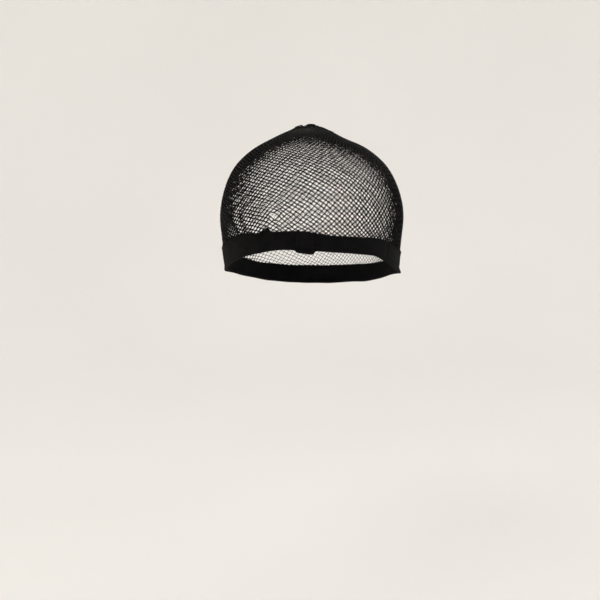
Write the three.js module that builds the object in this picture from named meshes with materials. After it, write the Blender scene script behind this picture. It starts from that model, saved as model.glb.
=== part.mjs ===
// A fishnet wig cap as it is worn, in millimetres. +Z is up, -Y the forehead's side, +X the wearer's left.
// The bag of net is drawn together in a gather on the crown and ends in a wide knitted band round the hem.
// The origin is the place on the inside of the crown where the cap rests on the top of the head.
import * as THREE from "three";

// Driving dimensions of the stretched cap, measured on its outside
const capBreadth = 148.6;
const faceDepth = 92;
const napeDepth = 96;
const crownRise = 68;
const skirtFall = 72;
const crownSetback = 18;
const crownLean = -3;

// Cloth, band and trimmings
const netWall = 1.2;
const bandWall = 2.2;
const bandHeight = 14.2;
const hemBelowWidest = 20.7;
const hemFall = 48;
const earFlare = 1.8;
const joinAround = 0.4;
const joinWidth = 13.2;
const joinWall = 1.3;
const joinHang = 2.1;
const gatherRadius = 16;
const gatherRise = 1.35;
const gatherLean = 0.15;
const knotWidth = 8.4;
const knotHeight = 2;
const knotAside = 1.2;
const seatGap = 0.3;

// The net's pattern of lozenge gaps: gaps in a row, rows, and the part of its lozenge that each gap opens.
// Half lozenges stand on the band. At the gather the columns lean by columnLean degrees to the right.
const gapColumns = 18;
const gapRows = 6;
const gapShare = 0.74;
const halfGapShare = 0.66;
const columnLean = 17;
const netEdgeHeight = 2.5;

// Level sections of the stretched net, from the crown down. The first row mirrors the third.
// turn: degrees from the crown. rise: share of crownRise above the widest level, or of skirtFall below it.
// side, face, nape: shares of half the breadth, faceDepth and napeDepth. centre: share of crownSetback.
const sections = [
  { turn: -15, rise: 0.966, side: -0.207, face: -0.3, nape: -0.25, centre: 0.85 },
  { turn: 0, rise: 1, side: 0, face: 0, nape: 0, centre: 1 },
  { turn: 15, rise: 0.966, side: 0.207, face: 0.3, nape: 0.25, centre: 0.85 },
  { turn: 30, rise: 0.866, side: 0.424, face: 0.565, nape: 0.48, centre: 0.68 },
  { turn: 45, rise: 0.725, side: 0.655, face: 0.73, nape: 0.68, centre: 0.5 },
  { turn: 60, rise: 0.532, side: 0.838, face: 0.88, nape: 0.825, centre: 0.33 },
  { turn: 75, rise: 0.279, side: 0.95, face: 0.975, nape: 0.94, centre: 0.15 },
  { turn: 90, rise: 0, side: 1, face: 1, nape: 1, centre: 0 },
  { turn: 105, rise: -0.272, side: 0.983, face: 1.01, nape: 0.975, centre: 0 },
  { turn: 120, rise: -0.58, side: 0.941, face: 0.99, nape: 0.875, centre: 0 },
  { turn: 138, rise: -1, side: 0.8, face: 0.93, nape: 0.69, centre: 0 },
];

// The hem round the head. around: degrees from the forehead towards the wearer's left.
// fall: how far the hem lies below its forehead level, a share of hemFall. height: share of bandHeight.
// The first and last rows lie past the nape, so that the curve runs level through it.
const hemStations = [
  { around: -220, fall: 0.92, height: 1 },
  { around: -180, fall: 1, height: 1 },
  { around: -140, fall: 0.92, height: 1 },
  { around: -115, fall: 0.77, height: 1.05 },
  { around: -90, fall: 0.58, height: 1.12 },
  { around: -70, fall: 0.43, height: 1.25 },
  { around: -46, fall: 0.21, height: 1.3 },
  { around: -32, fall: 0.09, height: 1.08 },
  { around: -16, fall: 0.005, height: 0.98 },
  { around: 0, fall: 0, height: 1.02 },
  { around: 17, fall: 0.036, height: 0.87 },
  { around: 38, fall: 0.107, height: 0.93 },
  { around: 48, fall: 0.165, height: 0.98 },
  { around: 60, fall: 0.31, height: 1.12 },
  { around: 75, fall: 0.465, height: 1.12 },
  { around: 90, fall: 0.58, height: 1.08 },
  { around: 115, fall: 0.77, height: 1 },
  { around: 140, fall: 0.92, height: 1 },
  { around: 180, fall: 1, height: 1 },
  { around: 220, fall: 0.92, height: 1 },
];

// Round the band's cross-section. up: share of its height. out: share of its wall, from the inner face.
const bandProfile = [
  { up: 0.05, out: 0 },
  { up: 0, out: 0.3 },
  { up: 0, out: 0.72 },
  { up: 0.07, out: 0.97 },
  { up: 0.35, out: 1.04 },
  { up: 0.65, out: 1.04 },
  { up: 0.93, out: 0.97 },
  { up: 1, out: 0.72 },
  { up: 1, out: 0.3 },
  { up: 0.95, out: 0 },
  { up: 0.5, out: 0 },
];
const bandFullest = Math.max(...bandProfile.map(({ out }) => out));

// Over each ear the band's foot is pushed out by earFlare. Degrees from the forehead, and the spread.
const earAround = 90;
const earSpread = 9;

// Round the cross-section of the band's join. up: share of its height. out: share of joinWall.
const joinProfile = [
  { up: 0.06, out: 0 },
  { up: 0, out: 0.35 },
  { up: 0.02, out: 0.75 },
  { up: 0.12, out: 1 },
  { up: 0.5, out: 0.9 },
  { up: 0.9, out: 0.85 },
  { up: 1, out: 0.5 },
  { up: 0.97, out: 0 },
  { up: 0.5, out: 0 },
];

// The join's lip and corners. slant and cornerLift: shares of joinHang. cornerThinning: share of joinWall.
// cornerDrop: how far its upper corners lie below the band's edge. cornerPower: how sharp the corners are.
const joinLip = { slant: 0.2, cornerLift: 0.25, cornerThinning: 0.35, cornerDrop: 0.4, cornerPower: 8 };

// The gather from its middle out.
// reach: share of gatherRadius. rise: share of gatherRise. pleat: share of pleatDepth.
const gatherRings = [
  { reach: 0.18, rise: 0.3, pleat: 0 },
  { reach: 0.36, rise: 0.75, pleat: 0.5 },
  { reach: 0.52, rise: 1, pleat: 0.9 },
  { reach: 0.68, rise: 0.95, pleat: 1 },
  { reach: 0.84, rise: 0.5, pleat: 0.9 },
  { reach: 1, rise: 0.12, pleat: 0.2 },
];
const pleats = 14;
const pleatDepth = 0.35;

// The knot's depth as a share of its width, and the lobes of its windings. depth: share of its radius.
const knotDepthShare = 0.8;
const knotLobes = [
  { lobes: 3, depth: 0.07, twist: 2 },
  { lobes: 5, depth: 0.04, twist: 0 },
];

// The power of the rise by which the crown comes to lean aside
const leanPower = 1.5;

function slopeAt(table, key, column, index) {
  const before = table[Math.max(index - 1, 0)];
  const after = table[Math.min(index + 1, table.length - 1)];
  return (after[column] - before[column]) / (after[key] - before[key]);
}

// A smooth curve through one column of a table
function readTable(table, key, column, at) {
  let index = 0;
  while (index < table.length - 2 && at > table[index + 1][key]) {
    index += 1;
  }
  const low = table[index];
  const high = table[index + 1];
  const span = high[key] - low[key];
  const s = THREE.MathUtils.clamp((at - low[key]) / span, 0, 1);
  const bend = s * s * (3 - 2 * s);
  const leave = s * (1 - s) * (1 - s) * span * slopeAt(table, key, column, index);
  const arrive = -s * s * (1 - s) * span * slopeAt(table, key, column, index + 1);
  return low[column] * (1 - bend) + high[column] * bend + leave + arrive;
}

function levelAtTurn(turn) {
  const rise = readTable(sections, "turn", "rise", turn);
  return rise > 0 ? rise * crownRise : rise * skirtFall;
}

// A point on the outside of the stretched net
function netSurface(around, turn) {
  const angle = THREE.MathUtils.degToRad(around);
  const lift = Math.max(readTable(sections, "turn", "rise", turn), 0);
  const end = Math.cos(angle) > 0
    ? faceDepth * readTable(sections, "turn", "face", turn)
    : napeDepth * readTable(sections, "turn", "nape", turn);
  const middle = crownSetback * readTable(sections, "turn", "centre", turn);
  const side = (capBreadth / 2) * readTable(sections, "turn", "side", turn);
  return new THREE.Vector3(
    side * Math.sin(angle) + crownLean * (lift ** leanPower - 1),
    middle - crownSetback - end * Math.cos(angle),
    levelAtTurn(turn) - (crownRise - netWall),
  );
}

// The same point moved out of the surface by so many millimetres, or in where the number is negative
function standProud(around, turn, proud) {
  const step = 0.5;
  const point = netSurface(around, turn);
  if (turn < step) {
    return point.add(new THREE.Vector3(0, 0, proud));
  }
  const along = netSurface(around + step, turn).sub(netSurface(around - step, turn));
  const down = netSurface(around, turn + step).sub(netSurface(around, turn - step));
  return point.addScaledVector(down.cross(along).normalize(), proud);
}

// The turn between two limits at which a rising measure reaches its target
function findTurn(measure, target, low, high) {
  let below = low;
  let above = high;
  for (let pass = 0; pass < 40; pass += 1) {
    const middle = (below + above) / 2;
    if (measure(middle) < target) {
      below = middle;
    } else {
      above = middle;
    }
  }
  return (below + above) / 2;
}

const lastTurn = sections[sections.length - 1].turn;

function turnAtLevel(level) {
  return findTurn((turn) => -levelAtTurn(turn), -level, 0, lastTurn);
}

function turnAtReach(around, reach) {
  const reachAt = (turn) => Math.hypot(netSurface(around, turn).x, netSurface(around, turn).y);
  return findTurn(reachAt, reach, 0, 45);
}

function bandFoot(around) {
  return -hemBelowWidest - hemFall * readTable(hemStations, "around", "fall", around);
}

function bandTop(around) {
  return bandFoot(around) + bandHeight * readTable(hemStations, "around", "height", around);
}

// Degrees as they stand in the hem's table, from -180 to 180
function halfTurns(around) {
  return THREE.MathUtils.euclideanModulo(around + 180, 360) - 180;
}

function makeMesh(name, vertices, triangles, look) {
  const geometry = new THREE.BufferGeometry();
  const places = vertices.flatMap((vertex) => vertex.toArray());
  geometry.setAttribute("position", new THREE.Float32BufferAttribute(places, 3));
  geometry.setIndex(triangles.flat());
  geometry.computeVertexNormals();
  const mesh = new THREE.Mesh(geometry, new THREE.MeshStandardMaterial(look));
  mesh.name = name;
  return mesh;
}

// A solid skinned over closed loops of equal length, its two ends closed on their middles
function skinLoops(name, loops, look) {
  const size = loops[0].length;
  const vertices = loops.flat();
  const triangles = [];
  for (let ring = 0; ring < loops.length - 1; ring += 1) {
    for (let i = 0; i < size; i += 1) {
      const a = ring * size + i;
      const b = ring * size + ((i + 1) % size);
      triangles.push([a, b, b + size], [a, b + size, a + size]);
    }
  }
  for (const [ring, turned] of [[0, true], [loops.length - 1, false]]) {
    const middle = new THREE.Vector3();
    loops[ring].forEach((v) => middle.addScaledVector(v, 1 / size));
    vertices.push(middle);
    for (let i = 0; i < size; i += 1) {
      const a = ring * size + i;
      const b = ring * size + ((i + 1) % size);
      triangles.push(turned ? [b, a, vertices.length - 1] : [a, b, vertices.length - 1]);
    }
  }
  return makeMesh(name, vertices, triangles, look);
}

// The net: two skins joined round every lozenge gap and along the lower edge.
// Places on it are counted in columns round the head and in rows down from the gather.
const lastRow = gapRows + 1;

function netTurn(around, row) {
  const first = turnAtReach(around, gatherRadius + 1);
  const edge = bandTop(halfTurns(around)) + seatGap;
  const low = turnAtLevel(edge + netEdgeHeight);
  if (row < 0) {
    return first * (1 + row);
  }
  if (row <= lastRow) {
    return THREE.MathUtils.lerp(first, low, row / lastRow);
  }
  return THREE.MathUtils.lerp(low, turnAtLevel(edge), row - lastRow);
}

function buildNet(look) {
  const vertices = [];
  const triangles = [];
  const places = new Map();

  // One pair of vertices for each place, outer skin first
  function pair(column, row) {
    const wrapped = row === -1 ? 0 : THREE.MathUtils.euclideanModulo(column, gapColumns);
    const key = `${wrapped.toFixed(4)} ${row.toFixed(4)}`;
    if (!places.has(key)) {
      const share = THREE.MathUtils.clamp(row / lastRow, 0, 1);
      const around = (360 * wrapped) / gapColumns - columnLean * (1 - share);
      const turn = netTurn(around, row);
      places.set(key, vertices.length);
      vertices.push(standProud(around, turn, 0), standProud(around, turn, -netWall));
    }
    return places.get(key);
  }

  // A triangle seen anticlockwise from outside, and its twin on the inner skin
  function face(a, b, c) {
    triangles.push([a, b, c], [c + 1, b + 1, a + 1]);
  }

  // A wall between the skins, with the open side on the left going from a to b
  function wall(a, b) {
    triangles.push([a, b, b + 1], [a, b + 1, a + 1]);
  }

  // A flat frame round a gap. The corners are columns and rows from its middle, anticlockwise.
  function openPanel(column, row, corners, share) {
    const outline = corners.map(([right, down]) => pair(column + right, row + down));
    const gap = corners.map(([right, down]) => pair(column + share * right, row + share * down));
    for (let k = 0; k < corners.length; k += 1) {
      const next = (k + 1) % corners.length;
      face(outline[k], outline[next], gap[next]);
      face(outline[k], gap[next], gap[k]);
      wall(gap[k], gap[next]);
    }
  }

  const lozenge = [
    [0, -1],
    [-0.25, -0.5],
    [-0.5, 0],
    [-0.25, 0.5],
    [0, 1],
    [0.25, 0.5],
    [0.5, 0],
    [0.25, -0.5],
  ];
  const lift = 0.375;
  const halfLozenge = [
    [-0.5, lift],
    [0, lift],
    [0.5, lift],
    [0.25, lift - 0.5],
    [0, lift - 1],
    [-0.25, lift - 0.5],
  ];

  for (let row = 1; row <= gapRows; row += 1) {
    for (let i = 0; i < gapColumns; i += 1) {
      openPanel(i + (row % 2) / 2, row, lozenge, gapShare);
    }
  }
  for (let i = 0; i < gapColumns; i += 1) {
    // Half lozenges left whole under the gather, and the disc inside them
    const top = i + 0.5;
    const under = pair(top + 0.5, 0);
    const underEdge = [[0, 0], [0.25, 0.5], [0.5, 1], [0.75, 0.5], [1, 0]];
    const fan = underEdge.map(([right, down]) => pair(top + right, down));
    for (let k = 0; k < fan.length - 1; k += 1) {
      face(under, fan[k], fan[k + 1]);
    }
    for (const column of [top, top + 0.5]) {
      face(pair(column, -0.5), pair(column, 0), pair(column + 0.5, 0));
      face(pair(column, -0.5), pair(column + 0.5, 0), pair(column + 0.5, -0.5));
      face(pair(column, -1), pair(column, -0.5), pair(column + 0.5, -0.5));
    }
    // Half lozenges above the band, and the edge strip below them
    const foot = i + (gapRows % 2) / 2;
    openPanel(foot + 0.5, lastRow - lift, halfLozenge, halfGapShare);
    for (const column of [foot, foot + 0.5]) {
      const left = pair(column, lastRow);
      const right = pair(column + 0.5, lastRow);
      const rim = [0, 0.25, 0.5].map((step) => pair(column + step, lastRow + 1));
      face(left, rim[0], rim[1]);
      face(left, rim[1], right);
      face(right, rim[1], rim[2]);
      wall(rim[1], rim[0]);
      wall(rim[2], rim[1]);
    }
  }
  return makeMesh("net", vertices, triangles, look);
}

// The band: one closed ring of cross-sections, pushed out a little over each ear
function flareAt(around, up) {
  const nearEar = (Math.abs(around) - earAround) / earSpread;
  return earFlare * Math.exp(-nearEar * nearEar) * (1 - up) ** 2;
}

function buildBand(look) {
  const stations = gapColumns * 4;
  const size = bandProfile.length;
  const vertices = [];
  const triangles = [];
  for (let i = 0; i < stations; i += 1) {
    const around = halfTurns((360 * i) / stations);
    for (const { up, out } of bandProfile) {
      const level = THREE.MathUtils.lerp(bandFoot(around), bandTop(around), up);
      const proud = bandWall * out - netWall + flareAt(around, up);
      vertices.push(standProud(around, turnAtLevel(level), proud));
    }
    for (let k = 0; k < size; k += 1) {
      const a = i * size + k;
      const b = i * size + ((k + 1) % size);
      const next = ((i + 1) % stations - i) * size;
      triangles.push([a, a + next, b + next], [a, b + next, b]);
    }
  }
  return makeMesh("band", vertices, triangles, look);
}

// The join of the band's two ends, over the middle of the forehead, hanging below the hem
function buildJoin(look) {
  const steps = 8;
  const halfAngle = THREE.MathUtils.radToDeg(joinWidth / capBreadth);
  const loops = [];
  for (let i = 0; i <= steps; i += 1) {
    const across = (2 * i) / steps - 1;
    const around = joinAround + halfAngle * across;
    const corner = across ** joinLip.cornerPower;
    const hang = joinHang * (1 + joinLip.slant * across - joinLip.cornerLift * corner);
    const foot = bandFoot(around) - hang;
    const top = bandTop(around) - joinLip.cornerDrop * corner;
    const seat = bandFullest * bandWall - netWall + seatGap;
    loops.push(joinProfile.map(({ up, out }) => {
      const turn = turnAtLevel(THREE.MathUtils.lerp(foot, top, up));
      const wall = joinWall * out * (1 - joinLip.cornerThinning * corner);
      return standProud(around, turn, seat + wall);
    }));
  }
  return skinLoops("band_join", loops.reverse(), look);
}

// The gather: pleats of bunched net round a dimple on the crown, a little fuller on the wearer's right
function gatherFullness(around) {
  return gatherRise * (1 - gatherLean * Math.sin(THREE.MathUtils.degToRad(around)));
}

function buildGather(look) {
  const steps = pleats * 4;
  const ringAt = (reach, proud) => Array.from({ length: steps }, (_, i) => {
    const around = (360 * i) / steps;
    return standProud(around, turnAtReach(around, reach), proud(around));
  });
  const loops = [0.1, 0.55, 1].map((share) => ringAt(gatherRadius * share, () => seatGap));
  for (const { reach, rise, pleat } of gatherRings.toReversed()) {
    loops.push(ringAt(gatherRadius * reach, (around) => {
      const fold = Math.cos(THREE.MathUtils.degToRad(pleats * around));
      return seatGap + gatherFullness(around) * rise + pleatDepth * pleat * fold;
    }));
  }
  return skinLoops("crown_gather", loops, look);
}

// The knot: a flat wound lump of thread in the gather's dimple
function buildKnot(look) {
  const steps = 24;
  const levels = 9;
  const fullest = gatherFullness(-90);
  const foot = netWall + seatGap + fullest * gatherRings[0].rise + seatGap;
  const loops = [];
  for (let j = 1; j < levels; j += 1) {
    const tilt = (Math.PI * j) / levels;
    loops.push(Array.from({ length: steps }, (_, i) => {
      const angle = (2 * Math.PI * i) / steps;
      let wound = 1;
      for (const { lobes, depth, twist } of knotLobes) {
        wound += depth * Math.cos(lobes * angle + twist * tilt);
      }
      const reach = (knotWidth / 2) * Math.sin(tilt) * wound;
      return new THREE.Vector3(
        knotAside + reach * Math.cos(angle),
        knotDepthShare * reach * Math.sin(angle),
        foot + (knotHeight / 2) * (1 - Math.cos(tilt)),
      );
    }));
  }
  return skinLoops("gather_knot", loops, look);
}

const blackNet = { color: 0x14130f, roughness: 0.8, metalness: 0 };
const blackKnit = { color: 0x100f10, roughness: 0.9, metalness: 0 };
const blackThread = { color: 0x17150f, roughness: 0.7, metalness: 0 };

const wigCap = new THREE.Group();
wigCap.add(
  buildNet(blackNet),
  buildBand(blackKnit),
  buildJoin(blackKnit),
  buildGather(blackNet),
  buildKnot(blackThread),
);

export default wigCap;
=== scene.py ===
import math

import bpy
import numpy as np
from mathutils import Matrix, Vector


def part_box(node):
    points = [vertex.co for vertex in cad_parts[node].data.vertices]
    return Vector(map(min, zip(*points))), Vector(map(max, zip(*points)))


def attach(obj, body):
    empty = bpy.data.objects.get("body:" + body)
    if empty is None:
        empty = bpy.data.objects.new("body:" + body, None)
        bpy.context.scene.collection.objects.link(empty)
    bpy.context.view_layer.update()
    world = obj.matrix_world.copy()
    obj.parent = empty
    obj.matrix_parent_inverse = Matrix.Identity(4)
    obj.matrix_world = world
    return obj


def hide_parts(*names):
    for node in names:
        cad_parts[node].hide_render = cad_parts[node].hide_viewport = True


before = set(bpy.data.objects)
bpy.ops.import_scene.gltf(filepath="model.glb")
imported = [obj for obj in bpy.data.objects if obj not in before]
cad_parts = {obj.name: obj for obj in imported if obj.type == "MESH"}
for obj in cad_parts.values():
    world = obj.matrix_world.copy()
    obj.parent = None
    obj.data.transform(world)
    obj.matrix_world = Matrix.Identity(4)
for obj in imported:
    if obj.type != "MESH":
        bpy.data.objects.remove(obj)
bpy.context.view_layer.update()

# Fishnet wig cap as worn: net bag, knitted hem band with its join, gather and knot on the crown.
# Lengths are in millimetres and angles in degrees until a mesh is made.
# The forehead looks along -Y, and the wearer's left is +X.
# around: degrees from the middle of the forehead towards +X. turn: degrees down from the crown.

rng = np.random.default_rng(37)
netLow, netHigh = (np.array(corner) * 1000 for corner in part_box("net"))
crownSetback = 18.0  # the gather lies this far behind the middle of the widest level
fullestFace = 1.01  # the largest share in the face column below
capForm = {
    "halfBreadth": (netHigh[0] - netLow[0]) / 2,
    "middleX": (netHigh[0] + netLow[0]) / 2,
    "crownTop": netHigh[2],
    "setback": crownSetback,
    "faceDepth": (-netLow[1] - crownSetback) / fullestFace,
    "napeDepth": netHigh[1] + crownSetback,
    "crownRise": 68.0,
    "skirtFall": 72.0,
    "leanPower": 1.5,  # how the crown comes to lean aside as it rises
}

# Level sections of the stretched net, as shares of the sizes above
sectionNames = ("turn", "rise", "side", "face", "nape", "centre")
sectionRows = np.array([
    (-15, 0.966, -0.207, -0.3, -0.25, 0.85),
    (0, 1, 0, 0, 0, 1),
    (15, 0.966, 0.207, 0.3, 0.25, 0.85),
    (30, 0.866, 0.424, 0.565, 0.48, 0.68),
    (45, 0.725, 0.655, 0.73, 0.68, 0.5),
    (60, 0.532, 0.838, 0.88, 0.825, 0.33),
    (75, 0.279, 0.95, 0.975, 0.94, 0.15),
    (90, 0, 1, 1, 1, 0),
    (105, -0.272, 0.983, 1.01, 0.975, 0),
    (120, -0.58, 0.941, 0.99, 0.875, 0),
    (138, -1, 0.8, 0.93, 0.69, 0),
])

# The hem: how far it falls below its forehead level, and the band's height, as shares of the sizes below
hemForm = {"belowWidest": 20.7, "fall": 48.0, "bandHeight": 14.2}
hemNames = ("around", "fall", "height")
hemRows = np.array([
    (-220, 0.92, 1),
    (-180, 1, 1),
    (-140, 0.92, 1),
    (-115, 0.77, 1.05),
    (-90, 0.58, 1.12),
    (-70, 0.43, 1.25),
    (-46, 0.21, 1.3),
    (-32, 0.09, 1.08),
    (-16, 0.005, 0.98),
    (0, 0, 1.02),
    (17, 0.036, 0.87),
    (38, 0.107, 0.93),
    (48, 0.165, 0.98),
    (60, 0.31, 1.12),
    (75, 0.465, 1.12),
    (90, 0.58, 1.08),
    (115, 0.77, 1),
    (140, 0.92, 1),
    (180, 1, 1),
    (220, 0.92, 1),
])


def readTable(rows, names, column, at):
    x = rows[:, 0]
    y = rows[:, names.index(column)]
    slopes = np.empty_like(y)
    slopes[1:-1] = (y[2:] - y[:-2]) / (x[2:] - x[:-2])
    slopes[0] = (y[1] - y[0]) / (x[1] - x[0])
    slopes[-1] = (y[-1] - y[-2]) / (x[-1] - x[-2])
    at = np.clip(at, x[0], x[-1])
    i = np.clip(np.searchsorted(x, at, side="right") - 1, 0, len(x) - 2)
    span = x[i + 1] - x[i]
    s = (at - x[i]) / span
    bend = s * s * (3 - 2 * s)
    leave = s * (1 - s) ** 2 * span * slopes[i]
    arrive = -s * s * (1 - s) * span * slopes[i + 1]
    return y[i] * (1 - bend) + y[i + 1] * bend + leave + arrive


def halfTurns(around):
    return (np.asarray(around) + 180) % 360 - 180


def levelAtTurn(turn):
    rise = readTable(sectionRows, sectionNames, "rise", turn)
    return np.where(rise > 0, rise * capForm["crownRise"], rise * capForm["skirtFall"])


lastTurn = sectionRows[-1, 0]
turnSteps = np.linspace(0, lastTurn, 1381)
levelSteps = levelAtTurn(turnSteps)


def turnAtLevel(level):
    return np.interp(-np.asarray(level), -levelSteps, turnSteps)


def netSurface(around, turn):
    around, turn = np.broadcast_arrays(np.asarray(around, float), np.asarray(turn, float))
    angle = np.radians(around)
    share = {name: readTable(sectionRows, sectionNames, name, turn) for name in sectionNames[1:]}
    lift = np.maximum(share["rise"], 0)
    end = np.where(
        np.cos(angle) > 0,
        capForm["faceDepth"] * share["face"],
        capForm["napeDepth"] * share["nape"],
    )
    aside = capForm["middleX"] * (1 - lift ** capForm["leanPower"])
    x = capForm["halfBreadth"] * share["side"] * np.sin(angle) + aside
    y = capForm["setback"] * (share["centre"] - 1) - end * np.cos(angle)
    z = levelAtTurn(turn) - capForm["crownRise"] + capForm["crownTop"]
    return np.stack([x, y, z], -1)


def unit(vectors):
    return vectors / np.maximum(np.linalg.norm(vectors, axis=-1, keepdims=True), 1e-9)


def surfaceNormal(around, turn):
    around, turn = np.broadcast_arrays(np.asarray(around, float), np.asarray(turn, float))
    step = 0.5
    safe = np.maximum(turn, 1.0)
    along = netSurface(around + step, safe) - netSurface(around - step, safe)
    down = netSurface(around, safe + step) - netSurface(around, safe - step)
    return unit(np.cross(down, along))


def standProud(around, turn, proud):
    return netSurface(around, turn) + surfaceNormal(around, turn) * np.asarray(proud)[..., None]


def bandFoot(around):
    fall = readTable(hemRows, hemNames, "fall", halfTurns(around))
    return -hemForm["belowWidest"] - hemForm["fall"] * fall


def bandTop(around):
    height = readTable(hemRows, hemNames, "height", halfTurns(around))
    return bandFoot(around) + hemForm["bandHeight"] * height


def turnAtReach(around, reach):
    # by a table of the horizontal distance from the gather's middle
    around = np.atleast_1d(np.asarray(around, float))
    turns = np.linspace(0, 45, 181)
    flat = netSurface(around[:, None], turns[None, :])[..., :2]
    distance = np.linalg.norm(flat, axis=-1)
    wanted = np.broadcast_to(np.asarray(reach, float), around.shape)
    return np.array([np.interp(w, d, turns) for w, d in zip(wanted, distance)])


# Each piece is one mesh: points in millimetres, and faces as one array for each number of corners
def makePiece(name, points, faces, material, uv=None):
    mesh = bpy.data.meshes.new(name)
    totals = np.concatenate([np.full(len(f), f.shape[1]) for f in faces])
    corners = np.concatenate([f.ravel() for f in faces]).astype(np.int32)
    mesh.vertices.add(len(points))
    mesh.vertices.foreach_set("co", (points / 1000).astype(np.float32).ravel())
    mesh.loops.add(len(corners))
    mesh.loops.foreach_set("vertex_index", corners)
    mesh.polygons.add(len(totals))
    starts = np.concatenate([[0], np.cumsum(totals)[:-1]])
    mesh.polygons.foreach_set("loop_start", starts.astype(np.int32))
    mesh.polygons.foreach_set("use_smooth", np.ones(len(totals), bool))
    if uv is not None:
        layer = mesh.uv_layers.new(name="surfaceMillimetres")
        layer.data.foreach_set("uv", uv[corners].astype(np.float32).ravel())
    mesh.update()
    mesh.validate()
    mesh.materials.append(material)
    piece = bpy.data.objects.new(name, mesh)
    bpy.context.scene.collection.objects.link(piece)
    return piece


def settle(piece, slot, *nodes):
    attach(piece, "root")
    if nodes:
        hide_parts(*nodes)


# Round tubes along many lines at once. lines: (points, normals, radii) for each.
def tubeArrays(lines, sides):
    points = np.concatenate([line[0] for line in lines])
    normals = np.concatenate([line[1] for line in lines])
    radii = np.concatenate([np.broadcast_to(line[2], len(line[0])) for line in lines])
    sizes = np.array([len(line[0]) for line in lines])
    ends = np.cumsum(sizes) - 1
    starts = ends - sizes + 1
    ahead = np.arange(len(points)) + 1
    behind = np.arange(len(points)) - 1
    ahead[ends] = ends
    behind[starts] = starts
    tangent = unit(points[ahead] - points[behind])
    normal = unit(normals - (normals * tangent).sum(-1, keepdims=True) * tangent)
    across = np.cross(tangent, normal)
    angles = 2 * np.pi * np.arange(sides) / sides
    rings = (
        points[:, None]
        + radii[:, None, None] * np.cos(angles)[None, :, None] * normal[:, None]
        + radii[:, None, None] * np.sin(angles)[None, :, None] * across[:, None]
    )
    inner = np.ones(len(points), bool)
    inner[ends] = False
    ring = np.flatnonzero(inner)[:, None] * sides
    a = np.arange(sides)[None]
    b = (a + 1) % sides
    quads = np.stack([ring + a, ring + b, ring + sides + b, ring + sides + a], -1).reshape(-1, 4)
    caps = np.concatenate([
        starts[:, None] * sides + np.arange(sides)[::-1][None],
        ends[:, None] * sides + np.arange(sides)[None],
    ])
    legs = np.linalg.norm(points - points[behind], axis=-1)
    run = np.cumsum(legs)
    uv = np.stack(np.broadcast_arrays(run[:, None], (2 * np.pi * radii)[:, None] * a / sides), -1)
    return rings.reshape(-1, 3), [quads, caps], uv.reshape(-1, 2)


def curveThrough(points, count):
    # a smooth line through a few points
    points = np.asarray(points, float)
    before = np.vstack([2 * points[0] - points[1], points[:-1]])
    after = np.vstack([points[1:], 2 * points[-1] - points[-2]])
    slopes = (after - before) / 2
    at = np.linspace(0, len(points) - 1, count)
    i = np.clip(at.astype(int), 0, len(points) - 2)
    s = (at - i)[:, None]
    return (
        (2 * s ** 3 - 3 * s ** 2 + 1) * points[i]
        + (s ** 3 - 2 * s ** 2 + s) * slopes[i]
        + (3 * s ** 2 - 2 * s ** 3) * points[i + 1]
        + (s ** 3 - s ** 2) * slopes[i + 1]
    )


def upNormals(points):
    return np.tile([0.0, 0.0, 1.0], (len(points), 1))


def smoothStep(low, high, value):
    s = np.clip((value - low) / (high - low), 0, 1)
    return s * s * (3 - 2 * s)


# Materials
waveUnit = 3.2  # about how many waves a wave texture has in one unit at scale 1


def hexToLinear(code):
    parts = [int(code[i:i + 2], 16) / 255 for i in (1, 3, 5)]
    return tuple(c / 12.92 if c <= 0.04045 else ((c + 0.055) / 1.055) ** 2.4 for c in parts) + (1.0,)


def addNode(tree, kind, inputs=None, **settings):
    # a node given as an input is linked by its first output
    node = tree.nodes.new(kind)
    for name, value in settings.items():
        setattr(node, name, value)
    for name, value in (inputs or {}).items():
        if isinstance(value, bpy.types.Node):
            value = value.outputs[0]
        if isinstance(value, bpy.types.NodeSocket):
            tree.links.new(value, node.inputs[name])
        else:
            node.inputs[name].default_value = value
    return node


def newMaterial(name):
    material = bpy.data.materials.new(name)
    material.use_nodes = True
    return material, material.node_tree, material.node_tree.nodes["Principled BSDF"]


def setRamp(node, stops):
    for element, (place, colour) in zip(node.color_ramp.elements, stops):
        element.position = place
        element.color = hexToLinear(colour)


# Polyamide filament yarn, dyed black and knitted into net.
# To the eye: round smooth strands, deep black, with a soft gleam along their backs.
nylonYarn = {
    "dark": "#060606", "light": "#100f0f", "patchMm": 22.0,
    "twistMm": 0.6, "twistDegrees": 38, "reliefMm": 0.12,
    "ior": 1.53, "gleam": 0.05, "roughness": (0.5, 0.68), "sheen": 0.004,
}


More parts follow.
